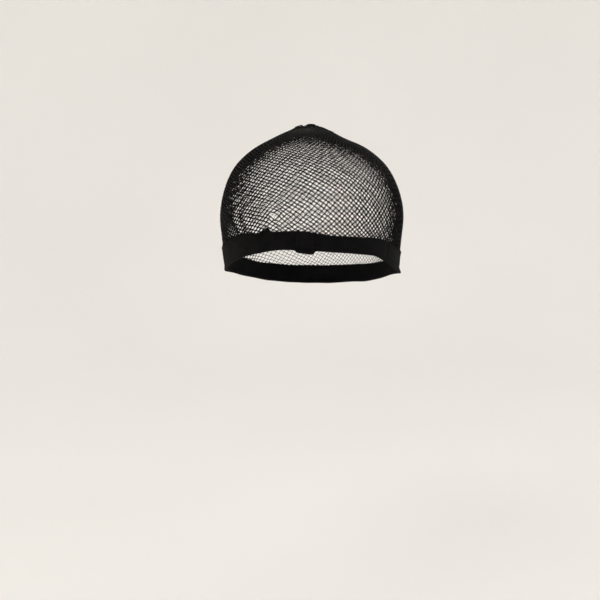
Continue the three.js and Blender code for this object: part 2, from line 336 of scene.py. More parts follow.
def dyedNylonYarn():
    material, tree, shader = newMaterial("dyedNylonYarn")
    place = addNode(tree, "ShaderNodeTexCoord")
    patches = addNode(tree, "ShaderNodeTexNoise", {
        "Vector": place.outputs["Object"], "Scale": 1000 / nylonYarn["patchMm"], "Detail": 3.0,
    })
    tone = addNode(tree, "ShaderNodeValToRGB", {"Fac": patches.outputs["Fac"]})
    setRamp(tone, [(0.3, nylonYarn["dark"]), (0.75, nylonYarn["light"])])
    tree.links.new(tone.outputs["Color"], shader.inputs["Base Color"])
    # the twist of the plies, drawn at 0.6 mm where the real one is about half that
    turned = addNode(tree, "ShaderNodeMapping", {
        "Vector": place.outputs["UV"], "Rotation": (0, 0, math.radians(nylonYarn["twistDegrees"])),
    })
    twist = addNode(tree, "ShaderNodeTexWave", {
        "Vector": turned, "Scale": 1 / nylonYarn["twistMm"] / waveUnit, "Distortion": 0.6,
    })
    bump = addNode(tree, "ShaderNodeBump", {
        "Height": twist.outputs["Fac"], "Strength": 0.35, "Distance": nylonYarn["reliefMm"] / 1000,
    })
    tree.links.new(bump.outputs["Normal"], shader.inputs["Normal"])
    smoothest, roughest = nylonYarn["roughness"]
    gloss = addNode(tree, "ShaderNodeMapRange", {
        "Value": twist.outputs["Fac"], "To Min": smoothest, "To Max": roughest,
    })
    tree.links.new(gloss.outputs["Result"], shader.inputs["Roughness"])
    shader.inputs["IOR"].default_value = nylonYarn["ior"]
    # fibres shade one another, so each surface gives back less than a smooth one
    shader.inputs["Specular IOR Level"].default_value = nylonYarn["gleam"]
    shader.inputs["Sheen Weight"].default_value = nylonYarn["sheen"]
    shader.inputs["Sheen Roughness"].default_value = 0.4
    return material


# Nylon and elastane welt, weft knitted double and dyed black.
# To the eye: matt and deep black, with fine upright wales and a faint bloom.
knitWelt = {
    "dark": "#060606", "light": "#161517", "patchMm": 16.0,
    "waleMm": 1.3, "courseMm": 1.05, "reliefMm": 0.26, "fuzzPerMetre": 2200.0,
    "ior": 1.5, "gleam": 0.05, "roughness": (0.7, 0.92), "sheen": 0.004,
}


def knittedWelt():
    material, tree, shader = newMaterial("knittedWelt")
    place = addNode(tree, "ShaderNodeTexCoord")
    axes = addNode(tree, "ShaderNodeSeparateXYZ", {"Vector": place.outputs["UV"]})
    # stitches drawn at 1.3 by 1.05 mm, about half again the real gauge, so that they show
    maths = "ShaderNodeMath"
    fullTurn = 2 * math.pi
    wale = addNode(tree, maths, {0: axes.outputs["X"], 1: knitWelt["waleMm"]}, operation="DIVIDE")
    leg = addNode(tree, maths, {0: wale, 1: 0.5}, operation="PINGPONG")
    course = addNode(tree, maths, {0: axes.outputs["Y"], 1: knitWelt["courseMm"]}, operation="DIVIDE")
    slanted = addNode(tree, maths, {0: leg, 1: 1.3, 2: course}, operation="MULTIPLY_ADD")
    stitchTurn = addNode(tree, maths, {0: slanted, 1: fullTurn}, operation="MULTIPLY")
    stitch = addNode(tree, maths, {0: stitchTurn}, operation="SINE")
    waleTurn = addNode(tree, maths, {0: leg, 1: fullTurn}, operation="MULTIPLY")
    ridge = addNode(tree, maths, {0: waleTurn}, operation="SINE")
    relief = addNode(tree, maths, {0: ridge, 1: 1.6, 2: stitch}, operation="MULTIPLY_ADD")
    fuzz = addNode(tree, "ShaderNodeTexNoise", {
        "Vector": place.outputs["Object"], "Scale": knitWelt["fuzzPerMetre"], "Detail": 2.0,
    })
    height = addNode(tree, maths, {0: fuzz, 1: 0.7, 2: relief}, operation="MULTIPLY_ADD")
    bump = addNode(tree, "ShaderNodeBump", {
        "Height": height, "Strength": 0.7, "Distance": knitWelt["reliefMm"] / 1000,
    })
    tree.links.new(bump.outputs["Normal"], shader.inputs["Normal"])
    patches = addNode(tree, "ShaderNodeTexNoise", {
        "Vector": place.outputs["Object"], "Scale": 1000 / knitWelt["patchMm"], "Detail": 4.0,
    })
    # painted shade: the valleys between the knit ridges are coloured a little darker than the ridges, laid
    # over the tone's random patches
    paintedRidgeShadeAndPatches = addNode(tree, maths, {0: relief, 1: 0.06, 2: patches}, operation="MULTIPLY_ADD")
    tone = addNode(tree, "ShaderNodeValToRGB", {"Fac": paintedRidgeShadeAndPatches})
    setRamp(tone, [(0.28, knitWelt["dark"]), (0.8, knitWelt["light"])])
    tree.links.new(tone.outputs["Color"], shader.inputs["Base Color"])
    smoothest, roughest = knitWelt["roughness"]
    gloss = addNode(tree, "ShaderNodeMapRange", {
        "Value": patches.outputs["Fac"], "To Min": smoothest, "To Max": roughest,
    })
    tree.links.new(gloss.outputs["Result"], shader.inputs["Roughness"])
    shader.inputs["IOR"].default_value = knitWelt["ior"]
    shader.inputs["Specular IOR Level"].default_value = knitWelt["gleam"]
    shader.inputs["Sheen Weight"].default_value = knitWelt["sheen"]
    shader.inputs["Sheen Roughness"].default_value = 0.35
    return material


# Spun polyester sewing thread of two plies, dyed black.
# To the eye: a little duller and hairier than the net's yarn.
sewingThread = {
    "dark": "#070706", "light": "#12100f", "twistMm": 0.9, "twistDegrees": 35, "reliefMm": 0.15,
    "hairPerMetre": 1800.0, "ior": 1.57, "gleam": 0.07, "roughness": (0.55, 0.78),
}


def spunThread():
    material, tree, shader = newMaterial("spunPolyesterThread")
    place = addNode(tree, "ShaderNodeTexCoord")
    # the twist is drawn at 0.9 mm, about twice the real one, so that it shows
    turned = addNode(tree, "ShaderNodeMapping", {
        "Vector": place.outputs["UV"], "Rotation": (0, 0, math.radians(sewingThread["twistDegrees"])),
    })
    twist = addNode(tree, "ShaderNodeTexWave", {
        "Vector": turned, "Scale": 1 / sewingThread["twistMm"] / waveUnit, "Distortion": 1.2,
    })
    hair = addNode(tree, "ShaderNodeTexNoise", {
        "Vector": place.outputs["Object"], "Scale": sewingThread["hairPerMetre"], "Detail": 3.0,
    })
    tone = addNode(tree, "ShaderNodeValToRGB", {"Fac": hair.outputs["Fac"]})
    setRamp(tone, [(0.35, sewingThread["dark"]), (0.7, sewingThread["light"])])
    tree.links.new(tone.outputs["Color"], shader.inputs["Base Color"])
    height = addNode(tree, "ShaderNodeMath", {
        0: hair.outputs["Fac"], 1: 0.4, 2: twist.outputs["Fac"],
    }, operation="MULTIPLY_ADD")
    bump = addNode(tree, "ShaderNodeBump", {
        "Height": height.outputs[0], "Strength": 0.4, "Distance": sewingThread["reliefMm"] / 1000,
    })
    tree.links.new(bump.outputs["Normal"], shader.inputs["Normal"])
    smoothest, roughest = sewingThread["roughness"]
    gloss = addNode(tree, "ShaderNodeMapRange", {
        "Value": twist.outputs["Fac"], "To Min": smoothest, "To Max": roughest,
    })
    tree.links.new(gloss.outputs["Result"], shader.inputs["Roughness"])
    shader.inputs["IOR"].default_value = sewingThread["ior"]
    shader.inputs["Specular IOR Level"].default_value = sewingThread["gleam"]
    return material


# Uncoated studio paper, off white: matt and even, with the faintest clouding
studioPaper = {"pale": "#f3f1ee", "shade": "#eeece9", "cloudsPerMetre": 1.5, "roughness": 0.9, "gleam": 0.2}


def mattPaper():
    material, tree, shader = newMaterial("mattStudioPaper")
    place = addNode(tree, "ShaderNodeTexCoord")
    clouds = addNode(tree, "ShaderNodeTexNoise", {
        "Vector": place.outputs["Object"], "Scale": studioPaper["cloudsPerMetre"], "Detail": 2.0,
    })
    tone = addNode(tree, "ShaderNodeValToRGB", {"Fac": clouds.outputs["Fac"]})
    setRamp(tone, [(0.3, studioPaper["shade"]), (0.7, studioPaper["pale"])])
    tree.links.new(tone.outputs["Color"], shader.inputs["Base Color"])
    shader.inputs["Roughness"].default_value = studioPaper["roughness"]
    shader.inputs["Specular IOR Level"].default_value = studioPaper["gleam"]
    return material


# Camera: at portrait distance in front of the forehead, a little higher and towards the wearer's left
viewPoint = {
    "azimuth": 3.5, "elevation": 5.0, "distance": 950.0, "sensor": 36.0,
    "pixelsWide": 600, "capMiddlePixel": (312.0, 212.0), "millimetresPerPixel": 0.82,
}


def placeCamera():
    wide = viewPoint["pixelsWide"]
    focal = viewPoint["distance"] / viewPoint["millimetresPerPixel"]  # in pixels
    azimuth, elevation = math.radians(viewPoint["azimuth"]), math.radians(viewPoint["elevation"])
    back = Vector((
        math.sin(azimuth) * math.cos(elevation),
        -math.cos(azimuth) * math.cos(elevation),
        math.sin(elevation),
    ))
    middle = Vector((capForm["middleX"], -capForm["setback"], capForm["crownTop"] - capForm["crownRise"]))
    right = Vector((math.cos(azimuth), math.sin(azimuth), 0))
    upward = back.cross(right)
    aside = math.atan((viewPoint["capMiddlePixel"][0] - wide / 2) / focal)
    above = math.atan((wide / 2 - viewPoint["capMiddlePixel"][1]) / focal)
    look = -back * math.cos(above) - upward * math.sin(above)
    upward = upward * math.cos(above) - back * math.sin(above)
    sideways = right * math.cos(aside) + look * math.sin(aside)
    look = look * math.cos(aside) - right * math.sin(aside)
    lens = bpy.data.cameras.new("studioCamera")
    lens.sensor_width = viewPoint["sensor"]
    lens.lens = viewPoint["sensor"] * focal / wide
    lens.clip_start = 0.01
    camera = bpy.data.objects.new("studioCamera", lens)
    bpy.context.scene.collection.objects.link(camera)
    turned = Matrix((sideways, upward, -look)).transposed().to_4x4()
    camera.matrix_world = Matrix.Translation((middle + back * viewPoint["distance"]) / 1000) @ turned
    bpy.context.scene.camera = camera


placeCamera()
print("camera placed")

yarn = dyedNylonYarn()
welt = knittedWelt()
thread = spunThread()
print("materials made")

# The gather: bunched net in uneven pleats round a dimple, with strands and loops standing out of it
gatherForm = {
    "radius": 16.0, "rise": 1.0, "lean": 0.05, "pleats": 17, "pleatDepth": 0.35, "pleatReach": 30.0,
    "bunch": 1.4, "seat": 0.1, "coreSunk": 0.45, "baseSunk": 1.0, "stations": 240, "rings": 22,
    "strands": 110, "strandRadius": 0.28, "loops": 30,
}
# Slack loops of net standing up from the gather, open beneath
# Degrees around, from and to which share of its radius, and height
standingLoops = [
    (-96, 0.34, 0.58, 1.2),
    (-84, 0.52, 0.80, 1.2),
    (-70, 0.40, 0.66, 1.1),
    (-110, 0.60, 0.84, 1.0),
    (-58, 0.62, 0.86, 0.9),
    (62, 0.50, 0.72, 0.8),
    (-20, 0.55, 0.78, 0.8),
]
# How a loop rises: part of its span, and share of its height
lowArch = ((-0.5, -0.25), (-0.34, 0.55), (0, 1), (0.34, 0.55), (0.5, -0.25))
standingArch = ((0, -0.2), (0.14, 0.72), (0.5, 1), (0.84, 0.7), (1, -0.2))
# The gather's form outwards: reach as a share of its radius, and shares of its rise and of its pleats' depth
gatherNames = ("reach", "rise", "pleat")
gatherRows = np.array([
    (0, 0.75, 0), (0.18, 0.75, 0), (0.36, 0.85, 0.5), (0.52, 1, 0.9), (0.68, 0.95, 1), (0.84, 0.52, 1),
    (1, 0.15, 0.8), (1.2, 0.02, 0.5), (1.6, 0, 0.25), (2.2, 0, 0),
])
pleatPhases = rng.uniform(0, 2 * np.pi, 6)


def pleatTurn(angle):
    # the pleats counted round the gather, crowding and thinning a little
    return gatherForm["pleats"] * angle + 0.8 * np.sin(2 * angle + pleatPhases[0])


def pleatFold(around, share):
    angle = np.radians(around)
    fold = np.cos(pleatTurn(angle) + 0.7 * share)
    return fold + 0.35 * np.cos(41 * angle + pleatPhases[1]) + 0.25 * np.cos(5 * angle + pleatPhases[2])


def gatherHeight(around, share):
    # how far the bunched net stands above the form, a little more on the wearer's right
    angle = np.radians(around)
    rise = readTable(gatherRows, gatherNames, "rise", share)
    pleat = readTable(gatherRows, gatherNames, "pleat", share)
    uneven = 1 - gatherForm["lean"] * np.sin(angle) + 0.08 * np.sin(3 * angle + pleatPhases[4])
    return gatherForm["rise"] * rise * uneven + gatherForm["pleatDepth"] * pleat * pleatFold(around, share)


# The net: two families of strands cross at knots counted in columns round the cap and half rows down
netPattern = {
    "columns": 104,
    "rows": 54,
    "rowHeight": 3.98,
    "strandRadius": (0.38, 0.17),  # over the forehead, and over the nape where the yarn is drawn thinnest
    "sideRadius": (0.11, 0.04),  # thicker beside the wearer's right and left ear, where the yarn is slacker
    "bunchedReach": (18.0, 40.0),  # full thickness within the first reach, drawn out past the second
    "knotSwell": 1.18,
    "knotLift": 0.17,
    "depth": 0.42,  # of the strands' middle below the outside of the form
    "lean": (0.107, -0.0007),  # columns gained with each degree of turn, and its easing
    "crowd": (0.44, 30.0, 40.0),  # share by which columns crowd to the nape, the turn where most, how widely
    "sway": 0.27,  # meshes are wider on the wearer's right, ever more so further down
    "evenRows": (0.18, 0.9),  # share of the forehead's row count that the front and the nape take
    "browRows": 0.9,  # rows more in the middle of the forehead than over the temples
    "twistRows": -1.0,
    "sideRows": (1.5, 80.0, 100.0),  # rows more by the wearer's right ear, coming in between these turns
    "edgeRows": (0.5, 3.2),  # rows more in the flatter meshes above the band, over how many degrees
    "pull": (1.3, -22.0, 13.0),  # rows drawn up beside the pucker: how many, where and how wide
    "jitter": (0.148, 0.0962),  # degrees by which a knot wanders down, and round the cap at a turn of 60
    "bow": 0.1,  # of a leg between two knots, aside
    "unevenYarn": 0.06,  # of its radius, from strand to strand
    "shoulder": (1.1, 90.0, 45.0, 27.0, 9.0),  # a flatter place: depth, around, its spread, turn, its spread
    "startReach": 5.0,
    "tuckUnderBand": 2.5,
}
# Rows by which the net sits higher on the wearer's left at each turn
tiltNames = ("turn", "tilt")
tiltRows = np.array([(0, 0), (30, 2.1), (60, 4.2), (90, 3.5), (138, 3)])

# The way down from the crown along the net, by a table with these steps in degrees
arcStep = {"around": 3.0, "turn": 0.5}
arcAround = np.arange(0, 361, arcStep["around"])
arcTurn = np.arange(0, lastTurn + arcStep["turn"], arcStep["turn"])
arcGrid = netSurface(arcAround[:, None], arcTurn[None, :])
arcLength = np.concatenate([
    np.zeros((len(arcAround), 1)),
    np.cumsum(np.linalg.norm(np.diff(arcGrid, axis=1), axis=-1), axis=1),
], axis=1)


def arcFromCrown(around, turn):
    a = (np.asarray(around) % 360) / arcStep["around"]
    t = np.clip(turn, 0, lastTurn) / arcStep["turn"]
    i = np.minimum(a.astype(int), len(arcAround) - 2)
    j = np.minimum(t.astype(int), len(arcTurn) - 2)
    a = a - i
    t = t - j
    near = arcLength[i, j] * (1 - t) + arcLength[i, j + 1] * t
    far = arcLength[i + 1, j] * (1 - t) + arcLength[i + 1, j + 1] * t
    return near * (1 - a) + far * a


def columnAt(around, turn):
    angle = np.radians(around)
    size, place, width = netPattern["crowd"]
    crowd = size * np.exp(-((turn - place) / width) ** 2)
    spread = angle - crowd * np.sin(angle) - netPattern["sway"] * turn / 90 * np.cos(angle)
    lean = netPattern["lean"][0] * turn + netPattern["lean"][1] * turn ** 2
    return netPattern["columns"] / (2 * np.pi) * spread - lean


def rowAt(around, turn):
    angle = np.radians(around)
    own = arcFromCrown(around, turn)
    front = arcFromCrown(np.zeros_like(own), turn)
    brow, nape = netPattern["evenRows"]
    even = brow + (nape - brow) * smoothStep(0.1, 0.9, -np.cos(angle))
    fade = smoothStep(0, 60, turn)
    rows = ((1 - even) * own + even * front) / netPattern["rowHeight"]
    rows = rows + readTable(tiltRows, tiltNames, "tilt", turn) * np.sin(angle)
    brows = netPattern["browRows"] * np.cos(angle)
    twist = netPattern["twistRows"] * np.sin(2 * angle)
    rows = rows + fade * (brows + twist)
    size, first, last = netPattern["sideRows"]
    rows = rows + size * np.maximum(-np.sin(angle), 0) ** 2 * smoothStep(first, last, turn)
    size, reach = netPattern["edgeRows"]
    rows = rows + size * np.exp(np.clip(turn - turnAtLevel(bandTop(around)), -60, 2) / reach)
    size, place, width = netPattern["pull"]
    bump = np.exp(-((halfTurns(around) - place) / width) ** 2)
    return rows + size * bump * smoothStep(62, 90, turn)


def placeKnots(column, row):
    # finds around and turn for each knot by Newton steps
    around = column * 360 / netPattern["columns"]
    turn = np.clip(row * netPattern["rowHeight"] / 1.4, 1, 130)  # a first guess
    h = 0.05
    for attempt in range(40):
        u, v = columnAt(around, turn), rowAt(around, turn)
        du = np.stack([columnAt(around + h, turn) - u, columnAt(around, turn + h) - u]) / h
        dv = np.stack([rowAt(around + h, turn) - v, rowAt(around, turn + h) - v]) / h
        missU, missV = column - u, row - v
        det = du[0] * dv[1] - du[1] * dv[0]
        det = np.where(np.abs(det) < 1e-4, 1e-4, det)
        moveAround = (missU * dv[1] - missV * du[1]) / det
        moveTurn = (missV * du[0] - missU * dv[0]) / det
        around = around + np.clip(moveAround, -12, 12)
        turn = np.clip(turn + np.clip(moveTurn, -6, 6), 0.5, 137)
    return around, turn


halfRows = 2 * netPattern["rows"]
knotIndex, knotHalfRow = np.meshgrid(np.arange(netPattern["columns"]), np.arange(halfRows))
knotColumn = knotIndex + (knotHalfRow % 2) / 2
knotAround, knotTurn = placeKnots(knotColumn, knotHalfRow / 2)
# the nearer they are to the crown, the more degrees they wander round it
wander = rng.standard_normal((2,) + knotTurn.shape)
wanderDown, wanderRound = netPattern["jitter"]
knotTurn = knotTurn + wanderDown * wander[0]
knotAround = knotAround + wanderRound * wander[1] * np.minimum(60 / np.maximum(knotTurn, 8), 3)
knotReach = np.linalg.norm(netSurface(knotAround, knotTurn)[..., :2], axis=-1)
# near the gather they bunch together on the pleats
pleatFade = smoothStep(gatherForm["pleatReach"], 10, knotReach)
knotAround = knotAround - gatherForm["bunch"] * pleatFade * np.sin(pleatTurn(np.radians(knotAround)))
knotLift = gatherHeight(knotAround, knotReach / gatherForm["radius"])
dip, dipAround, dipSpread, dipTurn, dipFall = netPattern["shoulder"]
dipAway = ((halfTurns(knotAround) - dipAround) / dipSpread) ** 2 + ((knotTurn - dipTurn) / dipFall) ** 2
knotLift = knotLift - dip * np.exp(-dipAway)
knotPoint = standProud(knotAround, knotTurn, knotLift - netPattern["depth"])
knotNormal = surfaceNormal(knotAround, knotTurn)
# the yarn is slack and thick beside the ears, ever more so down to the hem, and thin over the nape
browRadius, napeRadius = netPattern["strandRadius"]
knotSide = np.sin(np.radians(knotAround))
slack = np.where(knotSide < 0, *netPattern["sideRadius"]) * smoothStep(0.3, 0.85, np.abs(knotSide))
slack = slack * (0.6 + smoothStep(50, 110, knotTurn))
knotThin = smoothStep(0.1, 0.85, -np.cos(np.radians(knotAround)))
knotRadius = (browRadius + slack) * (1 - knotThin) + napeRadius * knotThin
bunchedFully, drawnOut = netPattern["bunchedReach"]
knotRadius = knotRadius + (browRadius - knotRadius) * smoothStep(drawnOut, bunchedFully, knotReach)
edgeTurn = turnAtLevel(bandTop(knotAround) - netPattern["tuckUnderBand"])
knotHeld = (knotReach > netPattern["startReach"]) & (knotTurn < edgeTurn)
print("net knots placed:", int(knotHeld.sum()))

# The one broken leg of the net, where two meshes have run together and their neighbours give way
brokenMesh = {"around": -17.5, "turn": 86.5, "spreadMm": 1.7, "reachMm": 4.2}


def openHole():
    middle = netSurface(brokenMesh["around"], brokenMesh["turn"])
    away = knotPoint - middle
    distance = np.linalg.norm(away, axis=-1, keepdims=True)
    push = brokenMesh["spreadMm"] * np.exp(-(distance / brokenMesh["reachMm"]) ** 2)
    knotPoint[:] = knotPoint + unit(away) * push
    near = np.where(knotHeld, distance[..., 0], np.inf)
    return np.unravel_index(near.argmin(), near.shape)


holeKnot = openHole()


def strandLines(family):
    # family +1 runs down towards +X, -1 towards -X; its strands pass over and under the other family's
    lines = []
    columns = netPattern["columns"]
    rows = np.arange(halfRows)
    for start in range(columns):
        if family > 0:
            index = (start + (rows + 1) // 2 - (rows % 2)) % columns
        else:
            index = (start - (rows + 1) // 2) % columns
        held = knotHeld[rows, index]
        broken = (family < 0) & (rows == holeKnot[0]) & (index == holeKnot[1])
        lift = family * netPattern["knotLift"] * np.where(rows % 2, 1, -1)
        points = knotPoint[rows, index] + knotNormal[rows, index] * lift[:, None]
        stops = np.flatnonzero(np.diff(np.concatenate([[0], held.astype(int), [0]])))
        for first, last in zip(stops[::2], stops[1::2]):
            cuts = [c for c in np.flatnonzero(broken) if first < c < last - 1]
            bounds = [first] + [c + 1 for c in cuts] + [last]
            for low, high in zip(bounds[:-1], bounds[1:]):
                if high - low < 2:
                    continue
                run = slice(low, high)
                knots, normals = points[run], knotNormal[rows, index][run]
                middles = (knots[1:] + knots[:-1]) / 2
                sideways = unit(np.cross(normals[1:], knots[1:] - knots[:-1]))
                bow = netPattern["bow"] * rng.standard_normal((len(middles), 1))
                middles = middles + sideways * bow
                line = np.empty((2 * len(knots) - 1, 3))
                line[0::2], line[1::2] = knots, middles
                facing = np.repeat(normals, 2, axis=0)[:-1]
                radius = np.repeat(knotRadius[rows, index][run], 2)[:-1]
                radius[0::2] *= netPattern["knotSwell"]
                radius *= 1 + netPattern["unevenYarn"] * rng.standard_normal()
                lines.append((line, facing, radius))
    return lines


def buildNet():
    for family, word in ((1, "Rightward"), (-1, "Leftward")):
        lines = strandLines(family)
        half = len(lines) // 2
        for part, chosen in (("A", lines[:half]), ("B", lines[half:])):
            points, faces, uv = tubeArrays(chosen, 6)
            piece = makePiece(f"netStrands{word}{part}", points, faces, yarn, uv)
            settle(piece, "net", "net")
            triangles = len(faces[0]) * 2 + len(faces[1]) * 4
            print("net strands", word, part, "triangles", triangles)


buildNet()

# The hem band: a double knitted welt with soft ribs, a rolled lower fold and the creases seen in wear
bandForm = {
    "wall": 2.2, "innerProud": -1.2, "stations": 900,
    "ribs": 6, "ribDepth": 0.05, "edgeRoll": 0.16, "edgeWander": 0.22, "waveDepth": 0.16,
    "earFlare": 1.8, "earSpread": 9.0,
    "pucker": (-22.0, 3.9, 3.4, 1.1),  # a stitch drawn up: where, how high, and its spread to either side
    "puckerPower": 1.1,
    "earHooks": ((87.0, 10.0, 2.9), (-86.0, 10.0, 1.3)),  # the foot turned out: where, spread, how far
    "hookHeight": 0.25,
    "netNotch": 0.12,  # the net draws the upper edge down a little at each column
    "mmPerDegree": 1.35,  # along its foot
    "girth": 530.0,  # at the widest level, by which its wales are counted
}
# Creases: middle around and up the band, length and width in mm, slant in degrees, depth in mm
creaseRows = [
    (-24.5, 0.96, 5.0, 1.6, 74, -0.7),
    (-21.0, 0.80, 7.0, 1.8, 58, 0.35),
    (-29.0, 0.72, 8.0, 1.9, 118, 0.3),
    (-9.5, 0.45, 12.0, 1.6, 12, -0.3),
    (-10.5, 0.70, 9.0, 1.4, -14, -0.22),
    (8.5, 0.62, 10.0, 1.5, -10, -0.3),
    (10.0, 0.30, 12.0, 1.5, 8, -0.25),
    (19.0, 0.85, 8.0, 1.4, -12, -0.22),
    (44.0, 0.70, 15.0, 1.5, 4, -0.35),
    (46.0, 0.45, 17.0, 1.6, -3, -0.35),
    (43.0, 0.22, 12.0, 1.4, 3, -0.25),
    (56.0, 0.50, 11.0, 1.6, 82, -0.4),
    (-40.0, 0.40, 14.0, 1.8, 6, -0.3),
    (-52.0, 0.62, 13.0, 1.7, -5, -0.3),
    (-66.0, 0.35, 12.0, 1.9, 8, -0.35),
    (78.0, 0.55, 12.0, 1.9, 12, -0.4),
    (86.0, 0.25, 9.0, 1.8, 60, 0.35),
    (96.0, 0.50, 12.0, 1.9, -14, -0.4),
    (-85.0, 0.30, 9.0, 1.8, 118, 0.35),
    (-97.0, 0.55, 13.0, 1.9, 10, -0.4),
    (128.0, 0.60, 16.0, 1.8, 6, -0.3),
    (152.0, 0.35, 15.0, 1.8, -5, -0.3),
    (172.0, 0.65, 14.0, 1.7, 4, -0.25),
    (-128.0, 0.45, 15.0, 1.8, -6, -0.3),
    (-150.0, 0.68, 15.0, 1.8, 5, -0.3),
    (-170.0, 0.30, 14.0, 1.7, -4, -0.25),
]
# Round the band's cross-section from the inner foot outwards
profileNames = ("corner", "up", "out")
profileRows = np.array([
    (0, 0.05, 0), (1, 0, 0.3), (2, 0, 0.72), (3, 0.07, 0.97), (4, 0.35, 1.04), (5, 0.65, 1.04),
    (6, 0.93, 0.97), (7, 1, 0.72), (8, 1, 0.3), (9, 0.95, 0), (10, 0.5, 0), (11, 0.05, 0),
])
# The join: a lapped end sewn down over the forehead, its lip hanging below the hem
joinForm = {
    "middle": 0.4, "width": 13.2, "wall": 1.3, "hang": 2.1, "seat": 1.25, "stepsAcross": 40, "stepsUp": 44,
    "drag": (0.9, 1.1),  # the hem is dragged down beside it: how far in mm, over how many degrees
    "seam": 0.8,  # share of its half width at which each row of stitches lies
}
joinHalfAngle = math.degrees(joinForm["width"] / 2 / capForm["halfBreadth"])
wavePhases = rng.uniform(0, 2 * np.pi, 12)


def slowWave(around, first, count):
    # a gentle wander round the cap, with no step where it closes
    angle = np.radians(around)
    waves = [np.sin((5 + 4 * k) * angle + wavePhases[first + k]) / (1 + 0.5 * k) for k in range(count)]
    return sum(waves) / 1.6


def bandRelief(around, up, outward):
    # how far the band's face stands out or in at a place, in millimetres
    ribs = bandForm["ribDepth"] * np.cos(2 * np.pi * bandForm["ribs"] * up)
    lowRoll = np.exp(-((up - 0.09) / 0.07) ** 2)
    highRoll = np.exp(-((up - 0.93) / 0.06) ** 2)
    rolls = bandForm["edgeRoll"] * (lowRoll + 0.6 * highRoll)
    waves = bandForm["waveDepth"] * slowWave(around, 0, 5) * (1 - 0.5 * up)
    relief = ribs + rolls
    for middle, place, length, width, slant, depth in creaseRows:
        acrossMm = halfTurns(around - middle) * bandForm["mmPerDegree"]
        upMm = (up - place) * hemForm["bandHeight"]
        cosine, sine = math.cos(math.radians(slant)), math.sin(math.radians(slant))
        along = acrossMm * cosine + upMm * sine
        aside = upMm * cosine - acrossMm * sine
        relief = relief + depth * np.exp(-(along / length * 2) ** 2 - (aside / width) ** 2)
    return relief * outward + waves


def bandEdges(around):
    # the lower and upper edge of the band, with the small wander of the real one
    wander = bandForm["edgeWander"]
    foot = bandFoot(around) + wander * slowWave(around, 3, 5)
    besideJoin = np.abs(halfTurns(around) - joinForm["middle"]) - joinHalfAngle
    dragged, dragSpread = joinForm["drag"]
    foot = foot - dragged * np.exp(-(np.maximum(besideJoin, 0) / dragSpread) ** 2)
    middle, rise, before, after = bandForm["pucker"]
    away = halfTurns(around) - middle
    share = np.abs(away) / np.where(away < 0, before, after)
    pull = rise * np.exp(-share ** bandForm["puckerPower"])
    notch = bandForm["netNotch"] * np.cos(np.radians(around) * netPattern["columns"])
    top = bandTop(around) + wander * slowWave(around, 6, 5) + pull + notch
    return foot, top


def bandSurface(around, up, out):
    foot, top = bandEdges(around)
    level = foot + (top - foot) * up
    nearEar = (np.abs(halfTurns(around)) - 90) / bandForm["earSpread"]
    flare = bandForm["earFlare"] * np.exp(-nearEar ** 2) * (1 - up) ** 2
    for ear, spread, reach in bandForm["earHooks"]:
        share = np.exp(-((halfTurns(around) - ear) / spread) ** 2)
        flare = flare + reach * share * np.clip(1 - up / bandForm["hookHeight"], 0, 1) ** 1.5
    proud = bandForm["innerProud"] + bandForm["wall"] * out + flare
    proud = proud + bandRelief(around, np.clip(up, 0, 1), smoothStep(0.3, 0.9, out))
    return standProud(around, turnAtLevel(level), proud)


def buildBand():
    stations = bandForm["stations"]
    corners = np.concatenate([
        np.linspace(0, 3, 7),
        np.linspace(3, 6, 25)[1:],
        np.linspace(6, 9, 7)[1:],
        np.linspace(9, 11, 7)[1:-1],
    ])
    up = np.clip(readTable(profileRows, profileNames, "up", corners), 0, 1)
    out = readTable(profileRows, profileNames, "out", corners)
    around = np.arange(stations) * 360 / stations
    grid = bandSurface(around[:, None], up[None, :], out[None, :])
    size = len(corners)
    i = np.arange(stations)[:, None] * size
    k = np.arange(size)[None]
    nextI = (i + size) % (stations * size)
    nextK = (k + 1) % size
    faces = np.stack([i + k, nextI + k, nextI + nextK, i + nextK], -1).reshape(-1, 4)
    along = around * bandForm["girth"] / 360
    side = np.concatenate([[0], np.cumsum(np.linalg.norm(np.diff(grid[0], axis=0), axis=-1))])
    uv = np.stack(np.broadcast_arrays(along[:, None], side[None]), -1).reshape(-1, 2)
    piece = makePiece("hemBand", grid.reshape(-1, 3), [faces], welt, uv)
    settle(piece, "band", "band")
    print("hem band faces", len(faces))


buildBand()

# Linking stitches: thread loops that catch each column of the net to the band's upper edge
edgeStitch = {"perColumn": 2, "radius": 0.24, "below": 1.3, "above": 0.4, "proud": 0.2}


def buildEdgeStitches():
    count = netPattern["columns"] * edgeStitch["perColumn"]
    lines = []
    for i in range(count):
        wobble = rng.uniform(-0.25, 0.25)
        around = (i + wobble) * 360 / count
        lean = 0.35 * (1 if i % 2 else -1) * 360 / count
        top = bandEdges(np.array(around))[1]
        outside = bandForm["innerProud"] + bandForm["wall"] * 0.97
        steps = [
            (around - lean, top - edgeStitch["below"] * rng.uniform(0.8, 1.2), outside - 0.1),
            (around - 0.6 * lean, top - 0.5 * edgeStitch["below"], outside + edgeStitch["proud"]),
            (around, top + 0.1, outside - 0.1),
            (around + 0.5 * lean, top + edgeStitch["above"] * rng.uniform(0.7, 1.2), -0.25),
            (around + lean, top + 0.2, -0.9),
        ]
        spots = np.array([standProud(a, turnAtLevel(z), p) for a, z, p in steps])
        points = curveThrough(spots, 9)
        normals = np.repeat(surfaceNormal(around, turnAtLevel(top))[None], len(points), axis=0)
        lines.append((points, normals, edgeStitch["radius"]))
    points, faces, uv = tubeArrays(lines, 5)
    piece = makePiece("edgeStitches", points, faces, thread, uv)
    settle(piece, "thread")
    print("edge stitches", count)


buildEdgeStitches()


